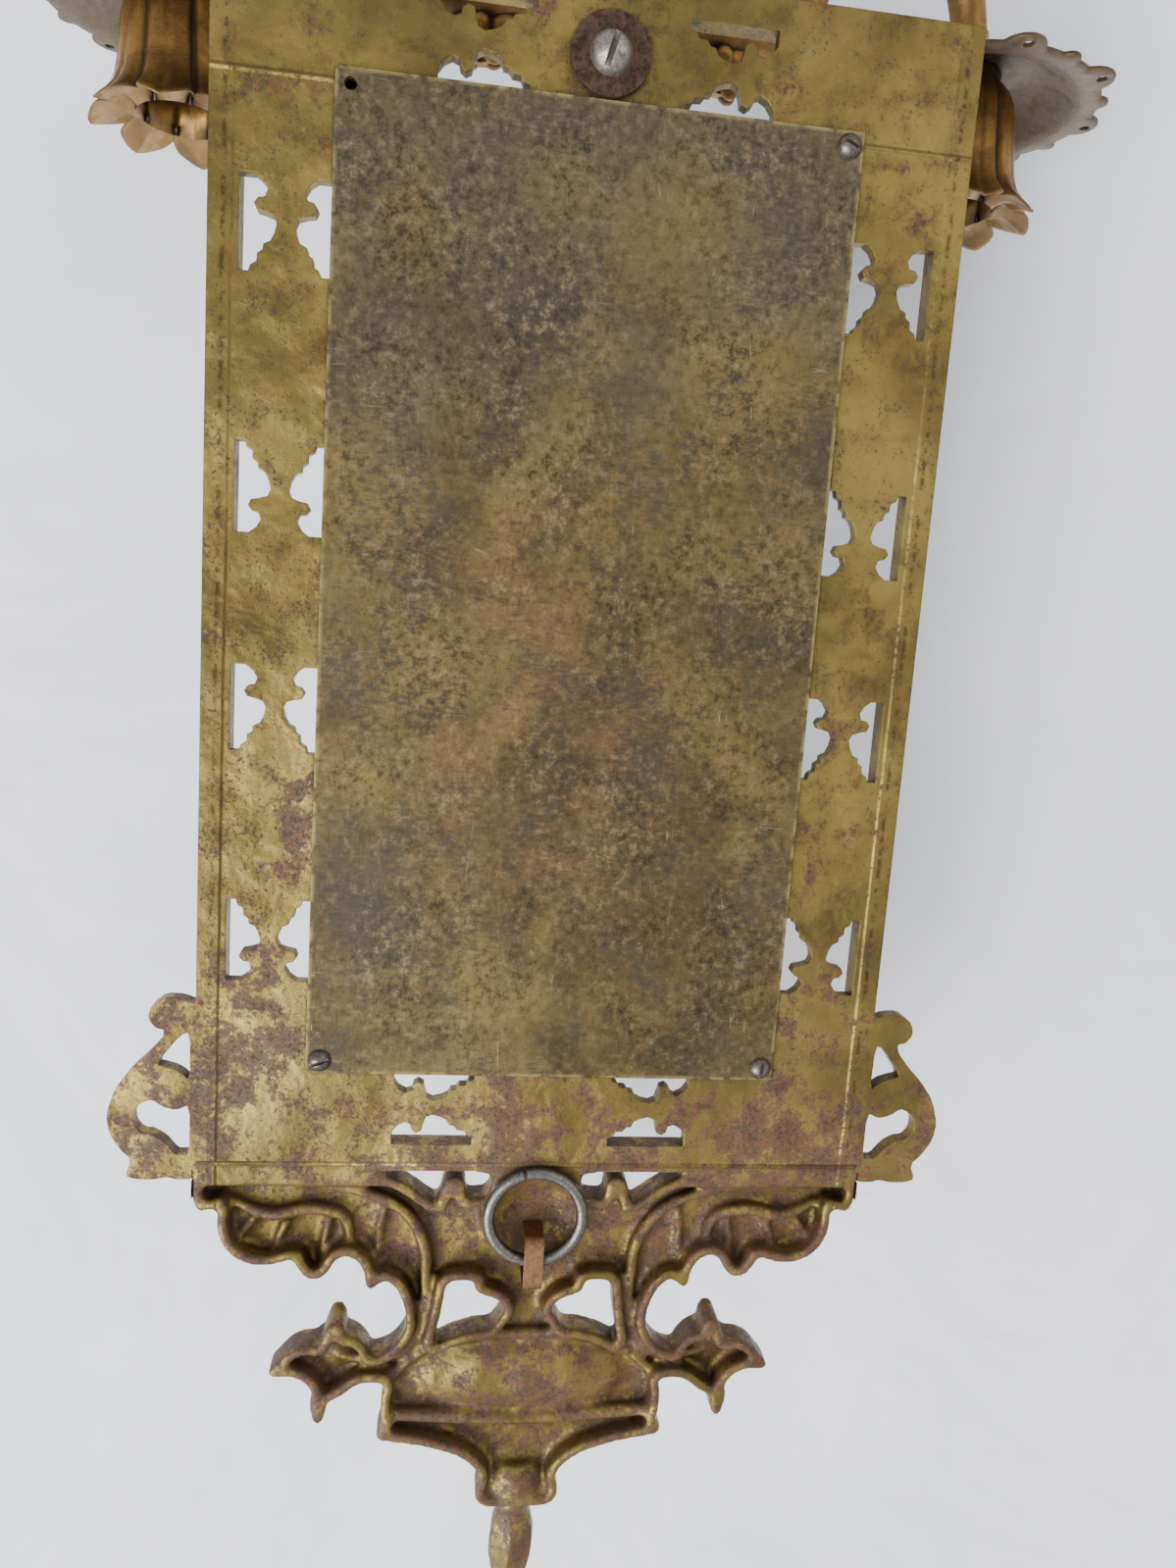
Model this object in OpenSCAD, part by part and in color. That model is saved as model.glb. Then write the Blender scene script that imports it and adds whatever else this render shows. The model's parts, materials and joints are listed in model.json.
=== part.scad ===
// Two-arm wall sconce with a framed mirror, seen with its front towards -Y and its top towards +Z.
// The origin is the hinge line of the hanging ring, which is where the sconce hangs.

/* [Frame] */
// Width of the cast frame
frame_w = 160; // [130:1:200]
// Height of the cast frame, without its crest
frame_h = 262; // [215:1:320]
// Width of the border from the frame's side to the mirror
border_w = 30; // [28.5:0.1:40]
// Height of the border from the frame's top to the mirror
border_h = 29.4; // [28.5:0.1:40]
// Width of the thicker outer rim
rim_w = 6.3; // [5:0.1:8]
// Depth of the thicker outer rim
rim_depth = 5; // [4:0.1:8]
// Thickness of the pierced border
sheet_t = 3; // [2:0.1:4]
// Depth of the inner moulding in front of the back face
moulding_depth = 8.6; // [7.8:0.1:12]
// How far the inner moulding laps over the glass
sight_lap = 4; // [2:0.1:8]

/* [Pierced motifs] */
// Size of a motif across its urn
motif_w = 18.6; // [14:0.1:18.6]
// Size of a motif along its urn
motif_h = 18.8; // [14:0.1:24]
// Height of the inner pair of side motifs from the middle
inner_row = 23.4; // [16:0.1:35]
// Height of the outer pair of side motifs from the middle
outer_row = 75.8; // [62:0.1:80]
// Distance of the top and bottom motifs from the middle
cross_column = 25.7; // [22:0.1:32]

/* [Mirror and back] */
// Thickness of the mirror glass
glass_t = 3.2; // [2:0.1:3.4]
// Width of the bevel round the mirror's front
glass_bevel = 9; // [4:0.5:15]
// Thickness of the backing board
board_t = 1.6; // [1:0.1:2]
// Clearance round the glass and the board
glass_gap = 0.5; // [0.3:0.1:1]
// Thickness of the back plate
plate_t = 0.8; // [0.5:0.1:1.5]
// How far the back plate laps over the frame
plate_lap = 5.3; // [4.5:0.1:6]
// Distance of the plate screws from the plate's edges
plate_screw_inset = 3.1; // [2.5:0.1:3.4]
// Radius of a plate screw's head
plate_head_r = 2.7; // [2:0.1:3]
// Radius of a plate screw's thread
plate_thread_r = 1.1; // [0.8:0.1:1.2]
// Length of a plate screw's thread below the back plate
plate_thread_l = 3.5; // [2:0.1:5]

/* [Arms] */
// Distance of each candle from the middle
candle_x = 97; // [90:1:120]
// Distance of each candle in front of the frame's back
candle_depth = 50; // [45:1:90]
// Height of the arm screw above the frame's bottom edge
boss_rise = 15.5; // [14:0.5:17]
// Radius of the arm rod
arm_r = 4.5; // [3.5:0.1:5]
// Radius of the straight post under each pan
post_r = 5; // [4.2:0.1:6]
// Radius of the arch where an arm leaves the frame
arch_r = 24; // [20:1:28]
// Radius of the arm screw's thread
arm_thread_r = 2.2; // [1.5:0.1:2.5]
// Radius of the arm screw's head
arm_head_r = 4.5; // [3.5:0.1:5.5]
// Radius of the washer under the arm screw
washer_r = 8.3; // [7:0.1:9]
// Thickness of that washer
washer_t = 1.4; // [1:0.1:2]

/* [Pans and candle cups] */
// Drop of the pan's floor below the frame's bottom edge
pan_drop = 16; // [12:0.5:24]
// Radius of the pan to the tips of its round lobes
pan_r = 37.5; // [32:0.5:42]
// Depth of the pan
pan_depth = 9; // [6:0.5:10]
// Thickness of the pan
pan_t = 1.2; // [0.8:0.1:1.5]
// Number of round lobes, each with a hole for a prism
lobe_count = 8; // [6:1:8]
// Radius of a prism hole
prism_hole_r = 1.2; // [0.8:0.1:1.5]
// Radius of the candle socket
socket_r = 10.5; // [9:0.1:11.5]
// Depth of the candle socket
socket_depth = 26; // [20:0.5:26]
// Height of a candle cup
cup_h = 36.8; // [36:0.5:44]
// Radius of a candle cup's flared rim
cup_rim_r = 21; // [18.5:0.5:23]

/* [Hanging ring] */
// Height of the ring's hinge line above the frame's top edge
hook_rise = 22.6; // [22:0.1:23]
// Outer radius of the hanging ring
ring_r = 12.7; // [11.5:0.1:13]
// Radius of the ring's wire
ring_wire_r = 1.4; // [1:0.1:1.5]
// Width of the strap that holds the ring
strap_w = 4.6; // [3:0.1:5.5]
// Thickness of the strap
strap_t = 1.2; // [0.8:0.1:1.4]

/* [Hidden] */
$fn = 48;
cut = 1;
gap = 0.3;
frame_top = frame_h / 2;
hook_z = frame_top + hook_rise;
hinge_y = ring_wire_r + gap;
ring_mid_r = ring_r - ring_wire_r;
ring_gap_angle = 4;
ring_gap_at = 255;
// Mirror pocket, plate and screw places
pocket_w = frame_w - 2 * border_w;
pocket_h = frame_h - 2 * border_h;
pocket_depth = board_t + glass_t + gap;
moulding_w = 3.9;
plate_w = pocket_w + 2 * plate_lap;
plate_h = pocket_h + 2 * plate_lap;
plate_x = plate_w / 2 - plate_screw_inset;
plate_z = plate_h / 2 - plate_screw_inset;
thread_gap = 0.1;
// Pierced motifs
side_column = frame_w / 2 - rim_w - motif_w / 2;
cross_row = frame_h / 2 - rim_w - motif_w / 2;
// Urn web of a motif, on a grid of 18.6 across and 18.8 along, with its ears towards +Y
urn_half = [
    [6.2, 9.4], [4.6, 8.2], [3.7, 6.6], [4.2, 5.2], [5.6, 4.9], [6.4, 3.8], [5.8, 2.5], [4.2, 2.2],
    [2.4, 1.6], [1.8, 0.2], [2.2, -1.6], [3, -3.2], [4.4, -3.9], [4.5, -5], [5.6, -5.8], [5.7, -7.4],
    [6.9, -8.1], [7.3, -9.4]
];
// Cast crest, from the middle of the frame's top edge
crest_depth = 8;
crest_wall = 2.4;
crest_floor = 5.5;
crest_half = [
    [78, -2], [80.4, 2], [80.6, 7.5], [79.4, 11.2], [76.4, 11], [74.4, 10.4], [75, 15], [73.6, 19.8],
    [70.6, 23.4], [66, 25.2], [61, 24.9], [57, 23.4], [56, 26], [54, 28.6], [51, 29.2], [48.6, 27],
    [47.2, 24], [44.6, 22.6], [41.6, 24.4], [40.2, 27.2], [39.8, 30.6], [38.6, 32], [36.6, 30.2],
    [34.8, 29.2], [32, 31.8], [30, 37], [29.6, 42], [31.4, 45.8], [34.4, 48.8], [37.8, 50],
    [38.8, 47.2], [41.6, 44.4], [44.6, 44.2], [43.8, 41.8], [46, 40.2], [48.8, 41.4], [49.4, 44.4],
    [50.2, 47], [54, 46.2], [58, 48.2], [60.6, 51.4], [62.6, 53.6], [61, 54.8], [57, 54.4],
    [53.4, 56.2], [51.6, 58.8], [52.2, 62.4], [51.4, 66.6], [50, 67.8], [48.4, 66.4], [48, 62],
    [44.4, 60], [41, 57.2], [38, 56.4], [34.2, 57], [35, 61], [35, 66], [34.2, 68.4], [36, 70],
    [35.6, 72.4], [31, 73.2], [24, 74.4], [16, 77], [11.4, 80.4], [9.4, 84], [10.6, 87], [10.4, 90.4],
    [7, 92.4]
];
crest_notch = [
    [10.6, 0.4], [44, 0.4], [36.6, 1.6], [30.6, 4.6], [23.4, 10], [22.8, 5], [21.8, 3], [19.6, 2.2],
    [17.6, 2.8], [17, 4.4], [16.8, 8.4], [14, 7.6], [11.4, 7.8]
];
crest_window = [
    [13.6, 29.4], [20.4, 29.6], [21, 36], [22, 42], [23.4, 47.6], [19, 45], [13.5, 43.2], [8.8, 42.8],
    [7.8, 40.6], [6.2, 38.6], [5.6, 37.3], [7, 35.4], [9, 34], [12, 33.2], [13.6, 31.8]
];
crest_k = frame_w / 160;
boss_z = 13;
boss_r = 13;
bowl_r = 16;
bowl_depth = 5;
slot_z = 16.4;
slot_h = 4.6;
// Leaf bud at the top of the crest, as radius and height
finial_foot = 82;
finial_depth = 8;
finial_profile = [
    [0, 0], [6, 0], [8, 3], [8.4, 6], [6.6, 9.4], [4.6, 11], [5.2, 13.4], [4, 15.6], [5, 19], [5.6, 24],
    [5.2, 30], [4, 36], [2.2, 41.4], [0, 44]
];
// Side ears, from the frame's top corner
ear_outline = [
    [-2, -41], [0.6, -40], [3, -41], [7, -41.2], [9.8, -39], [10.4, -36], [8.6, -33.8], [6.8, -33.6],
    [7.2, -31.4], [10, -28], [14, -24], [17.6, -19], [19.4, -13], [18.8, -8.6], [16.4, -4.6],
    [13.8, -2], [15.2, 2], [13, 2.8], [9, 2.9], [6, 2.2], [3.4, 2.9], [-2, 2.4]
];
ear_upper_gap = [[1.2, -33], [3.2, -32.4], [8.6, -25.2], [6, -24.6], [3.4, -23.6], [1, -21.4]];
ear_lower_gap = [
    [1, -15.6], [4, -14.2], [7, -15], [9.4, -16.8], [12, -15.8], [13.6, -13.4], [13.4, -10.6],
    [11.8, -8.6], [9.6, -8.4], [6.8, -6.8], [4.2, -3.4], [2.4, -3.4], [1, -3.6]
];
ear_t = 3.5;
// Arms
boss_below = -frame_h / 2 + boss_rise;
root_x = 8;
root_drop = 17;
root_depth = 12;
lug_t = 2.5;
lug_r = 8;
rosette_back = rim_depth + 2 * lug_t;
rosette_grip = 8;
foot_r = 4;
elbow_r = 5.8;
bead_r = arm_r + 0.8;
bead_w = 3;
bead_turn = 1;
sleeve_r = arm_r + 0.5;
arch_start = 90;
arch_end = 5;
arm_run = candle_depth - root_depth;
arm_span = norm([candle_x - root_x, arm_run]);
arm_turn = atan2(arm_run, candle_x - root_x);
arch_s = 22;
arch_z = -root_drop - arch_r;
bend_s = arch_s + arch_r * cos(arch_end);
bend_z = arch_z + arch_r * sin(arch_end);
sweep_r = (arm_span - bend_s) / (1 + cos(arch_end));
sweep_z = bend_z + sweep_r * sin(arch_end);
pan_z = -frame_h / 2 - pan_drop;
collar_t = 3;
collar_r = 7;
post_top = pan_z - collar_t;
post_h = 5;
flower_s = 19.5;
flower_drop = 11;
stud_r = 2.4;
stud_hole_r = stud_r + thread_gap;
stud_grip = 8;
socket_floor = cup_h + pan_t - socket_depth - 2;
cup_head_r = 4.4;
cup_head_h = 2;

// Moves from the frame's middle and back face to the part's own origin
module on_frame() {
    translate([0, -hinge_y, -hook_z]) children();
}

// Extrudes an outline drawn in X and Z from one depth forward to another
module slab(back, front) {
    translate([0, -back, 0]) rotate([90, 0, 0]) linear_extrude(front - back) children();
}

// A cylinder along Y, from one depth forward to another
module peg(x, z, back, front, r) {
    translate([x, -back, z]) rotate([90, 0, 0]) cylinder(r = r, h = front - back);
}

// Cuts each corner of a closed outline once
function soften(p) = [
    for (i = [0 : len(p) - 1])
        let (a = p[i], b = p[(i + 1) % len(p)])
            each [a * 0.8 + b * 0.2, a * 0.2 + b * 0.8]
];

function reversed(p) = [for (i = [len(p) - 1 : -1 : 0]) p[i]];

function widened(p, k) = [for (q = p) [k * q[0], q[1]]];

function flipped(p) = [for (q = reversed(p)) [-q[0], q[1]]];

module both_sides() {
    children();
    mirror([1, 0, 0]) children();
}

// The two openings of one motif, with the urn's ears towards +Y
module motif() {
    web = [for (p = urn_half) [p[0] * motif_w / 18.6, p[1] * motif_h / 18.8]];
    difference() {
        square([motif_w, motif_h], center = true);
        polygon(concat(web, flipped(web)));
    }
}

module motifs_2d() {
    both_sides() {
        for (up = [1, -1]) {
            translate([side_column, up * outer_row]) scale([1, up]) motif();
            translate([side_column, up * inner_row]) scale([1, -up]) motif();
            translate([cross_column, up * cross_row]) rotate(-90) motif();
        }
    }
}

module ears_2d() {
    both_sides() translate([frame_w / 2, frame_top]) difference() {
        polygon(soften(ear_outline));
        polygon(soften(ear_upper_gap));
        polygon(soften(ear_lower_gap));
    }
}

module crest_2d() {
    translate([0, frame_top]) difference() {
        polygon(soften(widened(concat(crest_half, flipped(crest_half)), crest_k)));
        both_sides() polygon(soften(widened(crest_notch, crest_k)));
        both_sides() polygon(soften(widened(crest_window, crest_k)));
    }
}

// Back of the crest, hollow behind its relief
module crest_hollow() {
    difference() {
        slab(-cut, crest_floor) offset(delta = -crest_wall) difference() {
            crest_2d();
            translate([-frame_w, frame_top - frame_h]) square([2 * frame_w, frame_h + crest_wall]);
        }
        peg(0, frame_top + boss_z, -2 * cut, crest_depth, boss_r);
    }
}

module crest() {
    difference() {
        union() {
            slab(0, crest_depth) difference() {
                crest_2d();
                translate([-frame_w, -frame_top - 1]) square([2 * frame_w, frame_h]);
            }
            peg(0, frame_top + boss_z, 0, crest_depth + 1, boss_r);
        }
        crest_hollow();
        translate([0, bowl_r - bowl_depth, frame_top + boss_z]) sphere(r = bowl_r);
        translate([-strap_w / 2 - 1, -2 * crest_depth, frame_top + slot_z + strap_t / 2 - slot_h])
            cube([strap_w + 2, 3 * crest_depth, slot_h]);
    }
    translate([0, -finial_depth, frame_top + finial_foot]) rotate_extrude() polygon(finial_profile);
}

module frame() {
    color([0.55, 0.46, 0.24]) on_frame() difference() {
        union() {
            slab(0, sheet_t) difference() {
                square([frame_w, frame_h], center = true);
                square([pocket_w, pocket_h], center = true);
                motifs_2d();
            }
            slab(0, rim_depth) difference() {
                square([frame_w, frame_h], center = true);
                square([frame_w - 2 * rim_w, frame_h - 2 * rim_w], center = true);
            }
            slab(0, moulding_depth) difference() {
                square([pocket_w + 2 * moulding_w, pocket_h + 2 * moulding_w], center = true);
                square([pocket_w - 2 * sight_lap, pocket_h - 2 * sight_lap], center = true);
            }
            slab(0, ear_t) difference() {
                ears_2d();
                square([frame_w - 1, frame_h - 1], center = true);
            }
            crest();
            peg(0, boss_below, 0, rim_depth, lug_r + 1);
        }
        slab(-cut, pocket_depth) square([pocket_w, pocket_h], center = true);
        both_sides() for (up = [1, -1])
            peg(plate_x, up * plate_z, -cut, plate_thread_l + gap, plate_thread_r + thread_gap);
        peg(0, boss_below, -cut, moulding_depth, arm_thread_r + thread_gap);
    }
}

module mirror_glass() {
    back = board_t;
    front = back + glass_t;
    w = pocket_w / 2 - glass_gap;
    h = pocket_h / 2 - glass_gap;
    edge = glass_t / 2;
    color([0.75, 0.8, 0.82]) on_frame() intersection() {
        translate([0, 0, -h]) linear_extrude(2 * h) polygon([
            [-w, -back], [w, -back], [w, -front + edge], [w - glass_bevel, -front],
            [-w + glass_bevel, -front], [-w, -front + edge]
        ]);
        translate([-w, 0, 0]) rotate([0, 90, 0]) linear_extrude(2 * w) polygon([
            [-h, -back], [h, -back], [h, -front + edge], [h - glass_bevel, -front],
            [-h + glass_bevel, -front], [-h, -front + edge]
        ]);
    }
}

module backing_board() {
    color([0.45, 0.36, 0.25]) on_frame() slab(0, board_t)
        square([pocket_w - 2 * glass_gap, pocket_h - 2 * glass_gap], center = true);
}

module back_plate() {
    color([0.42, 0.38, 0.26]) on_frame() slab(-plate_t, 0) difference() {
        square([plate_w, plate_h], center = true);
        both_sides() for (up = [1, -1])
            translate([plate_x, up * plate_z]) circle(r = plate_thread_r + 2 * thread_gap);
    }
}

// A slotted round-head screw along Y, its head standing behind the given depth
module slotted_screw(x, z, seat, head_r, thread_r, thread_l, slot_turn) {
    head_h = head_r * 0.75;
    ball_r = (head_r * head_r + head_h * head_h) / (2 * head_h);
    slot_w = head_r * 0.28;
    translate([x, -seat, z]) difference() {
        union() {
            intersection() {
                translate([0, head_h - ball_r, 0]) sphere(r = ball_r);
                rotate([-90, 0, 0]) cylinder(r = head_r + cut, h = head_h + cut);
            }
            rotate([90, 0, 0]) cylinder(r = thread_r, h = thread_l);
        }
        rotate([0, slot_turn, 0]) translate([0, head_h, 0])
            cube([3 * head_r, head_h, slot_w], center = true);
    }
}

module plate_screw(side, up, slot_turn) {
    color([0.42, 0.38, 0.35]) on_frame() slotted_screw(side * plate_x, up * plate_z, -plate_t,
        plate_head_r, plate_thread_r, plate_t + plate_thread_l, slot_turn);
}

module plate_screw_upper_left() { plate_screw(-1, 1, 20); }
module plate_screw_upper_right() { plate_screw(1, 1, 85); }
module plate_screw_lower_right() { plate_screw(1, -1, -25); }

module arm_screw() {
    color([0.6, 0.58, 0.55]) on_frame() slotted_screw(0, boss_below, -washer_t,
        arm_head_r, arm_thread_r, washer_t + rosette_back + rosette_grip - gap, 75);
}

module arm_washer() {
    color([0.3, 0.2, 0.13]) on_frame() difference() {
        peg(0, boss_below, -washer_t, 0, washer_r);
        peg(0, boss_below, -washer_t - cut, cut, arm_thread_r + thread_gap);
    }
}

module front_rosette() {
    back = rosette_back;
    petals = 8;
    color([0.62, 0.5, 0.26]) on_frame() difference() {
        union() {
            peg(0, boss_below, back, back + 3, 9);
            for (i = [0 : petals - 1])
                peg(8 * cos(i * 360 / petals), boss_below + 8 * sin(i * 360 / petals), back, back + 2.4, 3);
            peg(0, boss_below, back, back + 6, 5.4);
            translate([0, -back - 6, boss_below]) sphere(r = 4.6);
        }
        peg(0, boss_below, back - cut, back + rosette_grip, arm_thread_r + thread_gap);
    }
}

// One arm, drawn on the right, with its lug against the given depth
module arm(lug_back) {
    difference() {
        union() {
            translate([0, 0, boss_below]) {
                slab(lug_back, lug_back + lug_t) {
                    circle(r = lug_r);
                    polygon([[-5, -6], [7, -4], [root_x + foot_r, -root_drop], [root_x - foot_r, -root_drop]]);
                }
                peg(root_x, -root_drop, lug_back, root_depth, foot_r);
                peg(root_x, -root_drop, root_depth - elbow_r, root_depth + elbow_r, elbow_r);
                translate([root_x, -root_depth, 0]) rotate([0, 0, -arm_turn]) arm_rod();
            }
            translate([candle_x, -candle_depth, post_top - post_h]) cylinder(r = post_r, h = post_h);
        }
        peg(0, boss_below, 0, rosette_back + cut, arm_thread_r + thread_gap);
        translate([candle_x, -candle_depth, post_top - stud_grip])
            cylinder(r = stud_hole_r, h = stud_grip + cut);
    }
}

// The rod of an arm in its own upright plane, with a flower where it leaves the frame
module arm_rod() {
    translate([0, 0, -root_drop]) rotate([0, 90, 0]) cylinder(r = sleeve_r, h = arch_s + 2);
    translate([arch_s, 0, arch_z]) rotate([90, 0, 0]) rotate([0, 0, arch_end + bead_turn])
        rotate_extrude(angle = arch_start - arch_end - bead_turn) translate([arch_r, 0]) circle(r = arm_r);
    translate([bend_s, 0, bend_z]) rotate([0, -arch_end, 0]) cylinder(r = bead_r, h = bead_w, center = true);
    translate([arm_span - sweep_r, 0, sweep_z]) rotate([90, 0, 0]) rotate([0, 0, 180 + arch_end + bead_turn])
        rotate_extrude(angle = 180 - arch_end - bead_turn) translate([sweep_r, 0]) circle(r = arm_r);
    translate([flower_s, 0, -flower_drop]) {
        rotate([90, 0, 0]) cylinder(r = 7, h = 2.4, center = true);
        sphere(r = 3);
    }
}

module right_arm() {
    color([0.62, 0.45, 0.25]) on_frame() arm(rim_depth);
}

module left_arm() {
    color([0.62, 0.45, 0.25]) on_frame() mirror([1, 0, 0]) arm(rim_depth + lug_t);
}

// Places what is drawn on the pan's axis at its floor, on the right or the left
module at_candle(side) {
    on_frame() scale([side, 1, 1]) translate([candle_x, -candle_depth, pan_z]) children();
}

module pan_collar(side) {
    color([0.6, 0.44, 0.24]) at_candle(side) translate([0, 0, -collar_t]) difference() {
        cylinder(r = collar_r, h = collar_t);
        translate([0, 0, -cut]) cylinder(r = stud_hole_r + thread_gap, h = collar_t + 2 * cut);
    }
}

module drip_pan(side) {
    bowl_edge = pan_r - 6.5;
    lobe_r = 5.2;
    step = 360 / lobe_count;
    color([0.6, 0.44, 0.22]) at_candle(side) {
        rotate_extrude() polygon([
            [stud_hole_r + thread_gap, 0], [14, 0], [bowl_edge, pan_depth], [bowl_edge + 2, pan_depth],
            [bowl_edge + 2, pan_depth + pan_t], [bowl_edge - 0.6, pan_depth + pan_t], [13.6, pan_t],
            [stud_hole_r + thread_gap, pan_t]
        ]);
        translate([0, 0, pan_depth]) linear_extrude(pan_t) difference() {
            union() {
                circle(r = bowl_edge + 2);
                for (i = [0 : lobe_count - 1]) {
                    rotate(i * step) translate([pan_r - lobe_r, 0]) circle(r = lobe_r);
                    rotate((i + 0.5) * step) translate([pan_r - 5, 0]) circle(r = 3.4);
                }
            }
            circle(r = bowl_edge);
            for (i = [0 : lobe_count - 1])
                rotate(i * step) translate([pan_r - 3, 0]) circle(r = prism_hole_r);
        }
    }
}

module candle_cup(side) {
    top = cup_h + pan_t;
    color([0.62, 0.42, 0.18]) at_candle(side) rotate_extrude() polygon([
        [stud_hole_r + thread_gap, pan_t], [8.6, pan_t], [9.4, pan_t + 3], [12, pan_t + 7], [13.8, pan_t + 14],
        [14.6, top - 14], [15.6, top - 8], [17.4, top - 4], [cup_rim_r, top - 1.4], [cup_rim_r, top],
        [socket_r + 2, top - 2], [socket_r, top - 2], [socket_r, socket_floor],
        [cup_head_r + gap, socket_floor], [cup_head_r + gap, socket_floor - cup_head_h - gap],
        [stud_hole_r + thread_gap, socket_floor - cup_head_h - gap]
    ]);
}

module cup_screw(side) {
    head_z = socket_floor - cup_head_h - gap;
    foot_z = gap - collar_t - stud_grip;
    color([0.5, 0.45, 0.35]) at_candle(side) difference() {
        union() {
            translate([0, 0, head_z]) cylinder(r = cup_head_r, h = cup_head_h);
            translate([0, 0, foot_z]) cylinder(r = stud_r, h = head_z - foot_z + cup_head_h / 2);
        }
        translate([0, 0, head_z + cup_head_h]) cube([3 * cup_head_r, 1.2, cup_head_h], center = true);
    }
}

module left_pan_collar() { pan_collar(-1); }
module right_pan_collar() { pan_collar(1); }
module left_drip_pan() { drip_pan(-1); }
module right_drip_pan() { drip_pan(1); }
module left_candle_cup() { candle_cup(-1); }
module right_candle_cup() { candle_cup(1); }
module left_cup_screw() { cup_screw(-1); }
module right_cup_screw() { cup_screw(1); }

// The open ring, hanging down from the hinge line at the origin
module hanging_ring() {
    color([0.5, 0.5, 0.48]) translate([0, 0, -ring_mid_r]) rotate([90, 0, 0])
        rotate([0, 0, ring_gap_at + ring_gap_angle / 2])
        rotate_extrude(angle = 360 - ring_gap_angle) translate([ring_mid_r, 0]) circle(r = ring_wire_r);
}

// A strip bent over the ring, with one leg through the slot and one on the crest's floor
module ring_strap() {
    slot_leg = hook_rise - slot_z;
    rise = hinge_y + ring_wire_r + 2 * gap + strap_t;
    bend = 3;
    color([0.7, 0.45, 0.3]) translate([-strap_w / 2, -hinge_y, 0]) rotate([90, 0, 90])
        linear_extrude(strap_w) difference() {
            union() {
                translate([-crest_depth - 1, -slot_leg - strap_t / 2])
                    square([crest_depth + 1 + rise - bend, 2 * slot_leg + strap_t]);
                translate([0, -slot_leg - strap_t / 2 + bend])
                    square([rise, 2 * slot_leg + strap_t - 2 * bend]);
                for (up = [1, -1])
                    translate([rise - bend, up * (slot_leg + strap_t / 2 - bend)]) circle(r = bend);
            }
            translate([-crest_depth - 2, -slot_leg + strap_t / 2])
                square([crest_depth + 2 + rise - strap_t, 2 * slot_leg - strap_t]);
            translate([-crest_depth - 2, slot_leg - strap_t])
                square([crest_depth + 2 - crest_floor, 2 * strap_t]);
        }
}

frame();
mirror_glass();
backing_board();
back_plate();
plate_screw_upper_left();
plate_screw_upper_right();
plate_screw_lower_right();
arm_screw();
arm_washer();
front_rosette();
left_arm();
right_arm();
left_pan_collar();
right_pan_collar();
left_drip_pan();
right_drip_pan();
left_candle_cup();
right_candle_cup();
left_cup_screw();
right_cup_screw();
hanging_ring();
ring_strap();
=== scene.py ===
import json
import math

import bmesh
import bpy
from mathutils import Matrix, Vector


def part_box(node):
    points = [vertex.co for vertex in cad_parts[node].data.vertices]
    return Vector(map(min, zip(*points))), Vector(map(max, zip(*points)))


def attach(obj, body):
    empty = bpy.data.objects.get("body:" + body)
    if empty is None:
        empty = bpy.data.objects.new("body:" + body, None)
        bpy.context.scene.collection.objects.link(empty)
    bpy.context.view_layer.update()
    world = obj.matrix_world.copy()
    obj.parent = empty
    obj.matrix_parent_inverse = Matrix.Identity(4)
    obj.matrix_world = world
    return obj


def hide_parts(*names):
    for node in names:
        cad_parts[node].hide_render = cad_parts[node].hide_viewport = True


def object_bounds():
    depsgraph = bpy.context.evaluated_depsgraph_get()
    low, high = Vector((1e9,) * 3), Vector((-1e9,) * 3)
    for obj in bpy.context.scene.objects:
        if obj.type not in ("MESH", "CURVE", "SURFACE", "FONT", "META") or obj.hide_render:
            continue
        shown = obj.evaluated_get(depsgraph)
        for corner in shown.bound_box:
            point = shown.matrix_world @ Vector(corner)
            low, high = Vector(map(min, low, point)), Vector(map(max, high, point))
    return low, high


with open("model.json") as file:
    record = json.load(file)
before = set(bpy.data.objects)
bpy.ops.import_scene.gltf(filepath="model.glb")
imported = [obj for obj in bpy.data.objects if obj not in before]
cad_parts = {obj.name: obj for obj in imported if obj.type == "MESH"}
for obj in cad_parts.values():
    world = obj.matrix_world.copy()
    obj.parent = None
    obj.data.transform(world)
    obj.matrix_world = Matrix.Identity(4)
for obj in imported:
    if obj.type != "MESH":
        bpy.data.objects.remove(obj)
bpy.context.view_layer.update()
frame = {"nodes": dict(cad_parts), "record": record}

# Lengths below are millimetres from the middle of the frame's back face, until at() or mm() turns them to metres
millimetre = 0.001
plateLow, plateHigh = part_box("back_plate")
backY = plateLow.y
middleZ = (plateLow.z + plateHigh.z) / 2
casting = {"halfWidth": 80, "top": 131}


def mm(value):
    return value * millimetre


def inMm(metres):
    return metres * 1000


def at(x, y, z):
    return Vector((mm(x), backY + mm(y), middleZ + mm(z)))


def linearColour(text):
    def channel(pair):
        c = int(pair, 16) / 255
        return c / 12.92 if c <= 0.04045 else ((c + 0.055) / 1.055) ** 2.4

    return (channel(text[1:3]), channel(text[3:5]), channel(text[5:7]), 1)


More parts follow.
